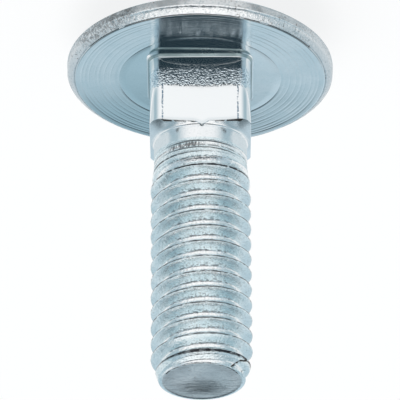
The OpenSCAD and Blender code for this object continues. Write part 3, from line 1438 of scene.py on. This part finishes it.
@dataclass(frozen=True)
class RolledZinc(ZincFinish):
    """Zinc over the rolled thread, with the dark broken seam that rolling leaves along the crests."""

    pitch: float = 1.0 * MM
    first_crest_z: float = 10.17 * MM
    # Painted highlight on the roots
    root_highlight_colour: Colour = (0.98, 0.985, 0.985)
    root_highlight_span: Span = (0.37, 0.42)
    seam_place: float = -0.045
    seam_half: float = 0.082
    seam_core: float = 0.55
    seam_wander: float = 0.09
    seam_foot: Span = (9.75 * MM, 10.05 * MM)
    seam_top: Span = (23.06 * MM, 22.96 * MM)
    last_turn: Span = (22.74 * MM, 22.84 * MM)
    last_widening: float = 0.28
    last_share: float = 0.8
    seam_spots: Spots = Spots(2100.0, 0.36, 0.50, 3.0, 0.7)
    # A thin broken line of painted shade beside the roots, and dark dots near it
    root_shade_place: float = 0.390
    root_shade_half: Span = (0.034, 0.008)
    root_shade_spots: Spots = Spots(3300.0, 0.44, 0.54, gain=0.7)
    dot_place: float = 0.340
    dot_half: Span = (0.09, 0.03)
    dot_share: float = 0.55
    dot_spots: Spots = Spots(7800.0, 0.54, 0.62)
    root_shade_share: float = 0.6
    front_half: Span = (2.3 * MM, 1.3 * MM)
    front: Span = (-0.5 * MM, -1.5 * MM)
    stroke_share: float = 0.8
    stroke_spots: Spots = Spots(8500.0, 0.42, 0.58)
    stroke_z: tuple[Span, Span] = ((9.22 * MM, 9.30 * MM), (9.66 * MM, 9.56 * MM))
    stroke_x: tuple[Span, Span] = ((-0.5 * MM, 0.3 * MM), (2.0 * MM, 1.6 * MM))
    die_line_z: tuple[Span, Span] = ((9.05 * MM, 9.15 * MM), (10.05 * MM, 9.90 * MM))
    die_line_scale: float = 7600.0
    die_line_level: Span = (0.56, 0.66)
    die_line_share: float = 0.55
    die_line_spots: Spots = Spots(2400.0, 0.34, 0.56)
    # Painted shade along the edges of the collar's two steps, in front
    collar_step_shade_heights: Span = (9.24 * MM, 9.68 * MM)
    collar_step_shade_half: Span = (0.045 * MM, 0.015 * MM)
    collar_step_shade_wide: Span = (2.5 * MM, 1.2 * MM)
    collar_step_shade_share: float = 0.75

    def _phase(self, coat: Coat) -> Socket:
        """Work out the distance from the seam towards the tip, in pitches along the bolt.

        Args:
            coat: The material's nodes.

        Returns:
            The distance's output, from -0.5 to 0.5.
        """
        turn = coat.times(coat.sum("ARCTAN2", coat.y, coat.x), 1 / TAU)
        climb = coat.sum("MULTIPLY_ADD", coat.z, 1 / self.pitch,
                         0.5 - self.seam_place - self.first_crest_z / self.pitch)
        return coat.sum("SUBTRACT", coat.sum("FRACT", coat.sum("SUBTRACT", climb, turn)), 0.5)

    def tint(self, coat: Coat, colour: Socket) -> Socket:
        """Brighten the roots with a painted highlight."""
        root = coat.rise(coat.size(self._phase(coat)), *self.root_highlight_span)
        return coat.blend(root, colour, self.root_highlight_colour)

    def marks(self, coat: Coat) -> Socket:
        """Show the seam, the painted shade line beside the roots and the marks on the collar.

        Args:
            coat: The material's nodes.

        Returns:
            How dark the marks are, 0 where there are none.
        """
        phase = self._phase(coat)
        wander = coat.ragged(-self.seam_wander / 2, self.seam_wander, 3800.0)
        last = coat.rise(coat.z, *self.last_turn)
        away = coat.times(coat.sum("ADD", coat.size(phase), wander),
                          coat.sum("MULTIPLY_ADD", last, -self.last_widening, 1.0))
        broken = coat.most(coat.spots(self.seam_spots), coat.times(last, self.last_share))
        level = coat.window(coat.z, self.seam_foot, self.seam_top)
        seam = coat.times(coat.rise(away, self.seam_half, self.seam_half * self.seam_core), broken, level)
        trace = coat.times(self._root_shade_line(coat, phase, wander), level, self.root_shade_share)
        return coat.most(coat.most(seam, trace), self._collar_marks(coat))

    def _root_shade_line(self, coat: Coat, phase: Socket, wander: Socket) -> Socket:
        """Show the thin broken line of painted shade and the dark dots beside the bright roots, in front
        and behind.

        Args:
            coat: The material's nodes.
            phase: Distance from the seam in pitches.
            wander: Noise that makes the line wander.

        Returns:
            How dark the line and the dots are.
        """
        above = coat.sum("ADD", coat.size(coat.sum("SUBTRACT", phase, self.root_shade_place)), wander)
        line = coat.times(coat.rise(above, *self.root_shade_half), coat.spots(self.root_shade_spots))
        beside = coat.size(coat.sum("SUBTRACT", phase, self.dot_place))
        dots = coat.times(coat.rise(beside, *self.dot_half), coat.spots(self.dot_spots), self.dot_share)
        return coat.times(coat.most(line, dots), coat.rise(coat.size(coat.x), *self.front_half))

    def _collar_marks(self, coat: Coat) -> Socket:
        """Show the traces of the dies on the collar and the strokes between its two steps, with painted
        shade along the steps' edges.

        Args:
            coat: The material's nodes.

        Returns:
            How dark the marks are, 0 where there are none.
        """
        in_front = coat.rise(coat.y, *self.front)
        turned = coat.stretched((0.0, math.radians(20), 0.0), (1.0, 1.0, 0.22))
        strokes = coat.times(coat.window(coat.z, *self.stroke_z), coat.window(coat.x, *self.stroke_x),
                             in_front, coat.spots(self.stroke_spots, turned), self.stroke_share)
        level = coat.ragged(coat.z, 0.16 * MM, 900.0, gain=0.5)
        lines = coat.noise(level, self.die_line_scale, 2.0, 0.5, flat=True)
        lines = coat.times(coat.rise(lines, *self.die_line_level), coat.spots(self.die_line_spots),
                           coat.window(coat.z, *self.die_line_z), self.die_line_share)
        # Painted shade along the step edges
        edge = coat.ragged(coat.z, 0.10 * MM, 1500.0)
        upper, lower = (coat.size(coat.sum("SUBTRACT", edge, height)) for height in self.collar_step_shade_heights)
        edges = coat.times(coat.rise(coat.sum("MINIMUM", upper, lower), *self.collar_step_shade_half),
                           coat.rise(coat.size(coat.x), *self.collar_step_shade_wide), in_front, self.collar_step_shade_share)
        return coat.most(strokes, coat.most(lines, edges))


@dataclass(frozen=True)
class ShearedZinc(ZincFinish):
    """Zinc over the cut end of the wire, with fine streaks one way."""

    streak_turn: float = math.radians(28)
    streak_scale: float = 9000.0
    streak_depth: float = 1.6
    streak_stretch: Point = (0.12, 1.0, 1.0)
    grain_share: float = 0.5

    def height(self, coat: Coat) -> Socket:
        """Add streaks to the grain.

        Args:
            coat: The material's nodes.

        Returns:
            The height's output.
        """
        turned = coat.stretched((0.0, 0.0, self.streak_turn), self.streak_stretch)
        streaks = coat.times(coat.noise(turned, self.streak_scale, 3.0, 0.6), self.streak_depth)
        return coat.sum("MULTIPLY_ADD", coat.fine, self.grain_share, streaks)


@dataclass
class CarriageBolt:
    """The whole bolt: head, neck, shank and end face on one closed surface."""

    name: str = "zinc_plated_bolt"
    flat_r: float = 2.97 * MM
    neck_corner_r: float = 0.8 * MM
    collar_r: float = 2.74 * MM
    first_crest: float = 6.42 * MM
    pitch: float = 1.0 * MM
    collar_length: float = 0.95 * MM
    crease: float = math.radians(50)
    box: tuple[Point, Point] = field(default_factory=lambda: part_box(NODE))

    def build(self) -> bpy.types.Object:
        """Build the bolt, dress it and hang it on the frame.

        Returns:
            The finished piece.
        """
        low, high = self.box
        mounts = {mount["name"]: mount for mount in frame["record"]["mounts"]}
        bearing_z = mounts["bearing_face"]["pos_m"][2]
        neck_depth = mounts["square_neck"]["dims"]["length_mm"] * MM
        skin = Skin(ColumnLayout(self.flat_r, self.neck_corner_r).columns())
        head = MushroomHead(head_r=(high[0] - low[0]) / 2, bearing_z=bearing_z)
        neck = SquareNeck(flat_r=self.flat_r, bearing_z=bearing_z, depth=neck_depth,
                          collar_r=self.collar_r, corner_r=self.neck_corner_r)
        shank = RolledShank(
            tip_z=high[2], collar_z=bearing_z + neck_depth + 0.2 * MM,
            crest_r=mounts["thread"]["dims"]["r_mm"] * MM, collar_r=self.collar_r,
            groove_z=bearing_z + neck_depth + self.collar_length,
            first_crest_z=bearing_z + self.first_crest + self.pitch / 4, pitch=self.pitch)
        head.dress(skin, neck.foot(skin))
        neck.dress(skin, head.face_z(neck.foot_r))
        shank.dress(skin)
        ShearedEnd(tip_z=high[2], lip_h=shank.lip_h).dress(skin)
        return self._piece(skin)

    def _piece(self, skin: Skin) -> bpy.types.Object:
        """Turn the surface into a piece with its finishes.

        Args:
            skin: The closed surface.

        Returns:
            The piece.
        """
        mesh = bpy.data.meshes.new(self.name)
        mesh.from_pydata(skin.points, [], skin.faces)
        for finish in self.finishes():
            mesh.materials.append(finish.material())
        mesh.polygons.foreach_set("material_index", skin.regions)
        mesh.polygons.foreach_set("use_smooth", [True] * len(skin.faces))
        mesh.set_sharp_from_angle(angle=self.crease)
        mesh.update()
        piece = bpy.data.objects.new(self.name, mesh)
        bpy.context.scene.collection.objects.link(piece)
        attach(piece, "root")
        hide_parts(NODE)
        return piece

    @staticmethod
    def finishes() -> list[ZincFinish]:
        """List the finishes.

        Returns:
            One finish for each region, in the order of the regions.
        """
        bright: Colour = (0.91, 0.93, 0.94)
        cool: Colour = (0.84, 0.88, 0.90)
        stain: Colour = (0.15, 0.13, 0.12)
        return [
            ZincFinish("zinc_on_dome", bright, cool, 0.24),
            RimZinc("zinc_on_rim", (0.96, 0.97, 0.97), (0.85, 0.87, 0.88), 0.16, grain=6500.0,
                    grain_depth=0.028 * MM, flecks=0.95, specks=0.30, mark_colour=stain),
            TurnedZinc("zinc_on_bearing_face", (0.86, 0.89, 0.90), (0.80, 0.86, 0.88), 0.10, specks=0.06),
            ForgedZinc("zinc_on_neck", bright, bright, 0.07, mark_colour=(0.18, 0.26, 0.34)),
            ZincFinish("zinc_on_shoulder", (0.94, 0.95, 0.955), bright, 0.16, specks=0.12),
            RolledZinc("zinc_on_thread", (0.89, 0.95, 0.965), (0.78, 0.88, 0.91), 0.11, grain=6500.0,
                       grain_depth=0.027 * MM, flecks=0.35, specks=0.28),
            ShearedZinc("zinc_on_end_face", (0.69, 0.685, 0.68), (0.54, 0.55, 0.555), 0.22,
                        grain_depth=0.008 * MM, flecks=0.5, specks=0.3),
            # Painted shade: the rim's zinc made darker on the wall, which faces the shaded floor
            RimZinc("zinc_on_wall", (0.68, 0.70, 0.71), (0.34, 0.36, 0.37), 0.26, grain=4800.0,
                    grain_depth=0.045 * MM, flecks=1.0, specks=0.5, mark_colour=stain),
            # Painted shade: dark zinc for the notch, the crease, the laps and the step inside the lip
            ZincFinish("zinc_in_seams", (0.16, 0.14, 0.13), (0.06, 0.055, 0.05), 0.5,
                       grain_depth=0.02 * MM),
            # Painted shade: dark zinc on the flare where the neck meets the bearing face
            ZincFinish("zinc_on_flare", (0.40, 0.49, 0.50), (0.28, 0.36, 0.37), 0.30, grain=7000.0,
                       grain_depth=0.012 * MM, specks=0.3),
        ]


@dataclass(frozen=True)
class Card:
    """A grey patch of the floor that only the metal sees."""

    share: float
    reach: tuple[Span, ...]
    ahead: tuple[Span, ...] = ()


class Axis(Enum):
    """Measures of a direction that a part of the sky is told by."""

    X = "x"
    Z = "z"
    WIDE = "size of x"


@dataclass(frozen=True)
class Layer:
    """A colour that covers the sky where a measure of the direction passes a span."""

    axis: Axis
    span: Span
    colour: Colour


@dataclass
class Studio:
    """Pale floor with grey cards, a sky told by direction, a soft light from above, and the camera."""

    floor_half: float = 1.5
    floor_colour: Colour = (0.94, 0.94, 0.94)
    white: Colour = (1.0, 1.0, 1.0)
    white_share: float = 0.80
    card_colour: Colour = (0.25, 0.40, 0.47)
    # The wide card lies at the front and the sides: where it starts and ends ahead and outwards
    wide_ahead: tuple[Span, Span] = ((-0.10, 0.40), (0.94, 0.50))
    wide_foot: Span = (13.0 * MM, 15.5 * MM)
    wide_end: Span = (50.0 * MM, 40.0 * MM)
    wide_endless: Span = (0.52, 0.40)
    wing_foot: Span = (20.0 * MM, 35.0 * MM)
    wing_ahead: Span = (-0.60, -0.15)
    # The first card is a painted shadow of the head on the floor, and the third is painted shade on the
    # floor near the bolt, at its sides and behind
    cards: tuple[Card, ...] = (
        Card(0.60, ((12.8 * MM, 10.0 * MM),), ((0.96, 0.75),)),
        Card(0.62, ((60.0 * MM, 90.0 * MM),), ((-0.50, -0.66),)),
        Card(0.55, ((13.5 * MM, 15.0 * MM), (23.5 * MM, 20.5 * MM)), ((0.40, 0.10),)),
        Card(0.22, ((19.0 * MM, 22.0 * MM), (33.0 * MM, 28.0 * MM))),
    )
    low_sky: Colour = (0.60, 0.73, 0.81)
    back_layers: tuple[Layer, ...] = (
        Layer(Axis.X, (-0.06, 0.06), (0.50, 0.64, 0.72)),
        Layer(Axis.Z, (0.50, 0.62), (0.07, 0.095, 0.11)),
        Layer(Axis.Z, (0.88, 0.96), (0.42, 0.53, 0.58)),
    )
    side_sky: Colour = (0.50, 0.62, 0.69)
    side_layers: tuple[Layer, ...] = (
        Layer(Axis.WIDE, (0.40, 0.60), (0.70, 0.78, 0.82)),
        Layer(Axis.WIDE, (0.72, 0.88), (0.86, 0.90, 0.91)),
        Layer(Axis.Z, (0.58, 0.76), (0.30, 0.41, 0.47)),
    )
    front_sky: Colour = (0.97, 0.98, 0.99)
    front_layers: tuple[Layer, ...] = (
        Layer(Axis.Z, (0.27, 0.37), (0.025, 0.045, 0.058)),
        Layer(Axis.Z, (0.76, 0.86), (0.60, 0.66, 0.70)),
        Layer(Axis.WIDE, (0.40, 0.75), (0.42, 0.54, 0.61)),
    )
    roof: Colour = (1.05, 1.05, 1.05)
    roof_y: tuple[Span, Span] = ((0.32, 0.16), (-0.54, -0.42))
    roof_wide: Span = (0.55, 0.44)
    side_span: Span = (0.14, 0.36)
    front_span: Span = (0.0, -0.20)
    key_energy: float = 1.6
    key_angle: float = math.radians(70)
    key_turn: Point = (math.radians(-18), math.radians(12), 0.0)
    camera_place: Point = (0.047 * MM, -225.23 * MM, 136.955 * MM)
    camera_target: Point = (0.047 * MM, 0.0, 11.655 * MM)
    lens: float = 396.9
    sensor: float = 36.0
    roll: float = math.radians(0.35)

    def build(self) -> None:
        """Set up the floor, the light and the camera."""
        self._floor()
        self._sky()
        self._key()
        self._camera()
        bpy.context.scene.view_settings.view_transform = "Standard"

    @staticmethod
    def _seen(board: Board) -> Socket:
        """Tell the rays that see the white background: camera, glossy and transmission ones.

        Args:
            board: The floor's nodes.

        Returns:
            1 for these rays, 0 for others.
        """
        path = board.add("ShaderNodeLightPath")
        share = board.sum("ADD", path.outputs["Is Camera Ray"], path.outputs["Is Glossy Ray"], hold=True)
        return board.sum("ADD", share, path.outputs["Is Transmission Ray"], hold=True)

    def _grey(self, board: Board) -> Socket:
        """Tell where the metal sees the grey cards that lie round the bolt.

        Args:
            board: The floor's nodes.

        Returns:
            1 on the cards, 0 elsewhere and for rays that aren't glossy.
        """
        x, y, _ = board.parts(board.add("ShaderNodeTexCoord").outputs["Object"])
        reach = board.reach(x, y)
        ahead = board.sum("DIVIDE", board.times(y, -1.0), reach)
        from_side, to_front = self.wide_ahead
        wing = board.times(board.rise(reach, *self.wing_foot), board.rise(ahead, *self.wing_ahead))
        near = board.most(board.rise(reach, *self.wide_end), board.rise(ahead, *self.wide_endless))
        grey = board.times(board.most(board.rise(ahead, *from_side), wing), board.rise(ahead, *to_front),
                           board.rise(reach, *self.wide_foot), near)
        for card in self.cards:
            spans = [board.rise(reach, *span) for span in card.reach]
            spans += [board.rise(ahead, *span) for span in card.ahead]
            grey = board.most(grey, board.times(*spans, card.share))
        return board.times(grey, board.add("ShaderNodeLightPath").outputs["Is Glossy Ray"])

    def _floor(self) -> None:
        """Lay the floor under the crown."""
        half = self.floor_half
        mesh = bpy.data.meshes.new("floor")
        mesh.from_pydata([(-half, -half, 0), (half, -half, 0), (half, half, 0), (-half, half, 0)],
                         [], [(0, 1, 2, 3)])
        floor = bpy.data.objects.new("floor", mesh)
        bpy.context.scene.collection.objects.link(floor)
        material = bpy.data.materials.new("white_floor")
        material.use_nodes = True
        board = Board(material.node_tree)
        paint = board.add("ShaderNodeBsdfDiffuse")
        paint.inputs["Color"].default_value = (*self.floor_colour, 1.0)
        glow = board.add("ShaderNodeEmission")
        board.feed(glow.inputs["Color"], board.blend(self._grey(board), self.white, self.card_colour))
        mix = board.add("ShaderNodeMixShader")
        board.feed(mix.inputs[0], board.times(self._seen(board), self.white_share))
        board.feed(mix.inputs[1], paint.outputs[0])
        board.feed(mix.inputs[2], glow.outputs[0])
        result = board.add("ShaderNodeOutputMaterial")
        board.feed(result.inputs["Surface"], mix.outputs[0])
        mesh.materials.append(material)

    @staticmethod
    def _pile(board: Board, axes: dict[Axis, Socket], sky: object, layers: tuple[Layer, ...]) -> object:
        """Lay the layers over a colour of the sky, one after the other.

        Args:
            board: The sky's nodes.
            axes: Output of each axis.
            sky: The colour under the layers.
            layers: The layers, the lowest one first.

        Returns:
            The colour's output.
        """
        for layer in layers:
            sky = board.blend(board.rise(axes[layer.axis], *layer.span), sky, layer.colour)
        return sky

    def _sky(self) -> None:
        """Light the bolt from a soft studio round it: each part of it is told by its direction."""
        world = bpy.data.worlds.new("studio")
        bpy.context.scene.world = world
        world.use_nodes = True
        board = Board(world.node_tree)
        x, y, z = board.parts(board.add("ShaderNodeTexCoord").outputs["Generated"])
        axes = {Axis.X: x, Axis.Z: z, Axis.WIDE: board.size(x)}
        behind, sides, front = (self._pile(board, axes, *part) for part in (
            (self.low_sky, self.back_layers), (self.side_sky, self.side_layers),
            (self.front_sky, self.front_layers)))
        sky = board.blend(board.rise(axes[Axis.WIDE], *self.side_span), behind, sides)
        sky = board.blend(board.rise(y, *self.front_span), sky, front)
        roof = board.times(board.window(y, *self.roof_y), board.rise(axes[Axis.WIDE], *self.roof_wide))
        sky = board.blend(roof, sky, self.roof)
        path = board.add("ShaderNodeLightPath")
        sky = board.blend(path.outputs["Is Camera Ray"], sky, self.white)
        back = board.add("ShaderNodeBackground")
        back.inputs["Strength"].default_value = 1.0
        board.feed(back.inputs["Color"], sky)
        result = board.add("ShaderNodeOutputWorld")
        board.feed(result.inputs["Surface"], back.outputs[0])

    def _key(self) -> None:
        """Hang a wide soft lamp overhead, which gives the floor its plain level and its shadow."""
        data = bpy.data.lights.new("key", "SUN")
        data.energy = self.key_energy
        data.angle = self.key_angle
        lamp = bpy.data.objects.new("key", data)
        lamp.rotation_euler = self.key_turn
        lamp.visible_glossy = False
        bpy.context.scene.collection.objects.link(lamp)

    def _camera(self) -> None:
        """Aim the camera from above, rolled half a turn so that the head is at the top."""
        data = bpy.data.cameras.new("camera")
        data.lens = self.lens
        data.sensor_width = self.sensor
        data.clip_start = 0.01
        data.clip_end = 10.0
        camera = bpy.data.objects.new("camera", data)
        place, target = Vector(self.camera_place), Vector(self.camera_target)
        ahead = (target - place).normalized()
        level = Vector((-1.0, 0.0, 0.0))
        upright = level.cross(ahead).normalized()
        right = level * math.cos(self.roll) - upright * math.sin(self.roll)
        up = upright * math.cos(self.roll) + level * math.sin(self.roll)
        turn = Matrix((right, up, -ahead)).transposed().to_4x4()
        camera.matrix_world = Matrix.Translation(place) @ turn
        bpy.context.scene.collection.objects.link(camera)
        bpy.context.scene.camera = camera


def main() -> None:
    """Build the studio and the bolt, and report each piece."""
    logging.basicConfig(level=logging.INFO, format="%(name)s: %(message)s")
    Studio().build()
    log.info("studio ready")
    piece = CarriageBolt().build()
    triangles = sum(len(face.vertices) - 2 for face in piece.data.polygons)
    log.info("%s: %d points, %d triangles", piece.name, len(piece.data.vertices), triangles)


if __name__ == "__main__":
    main()
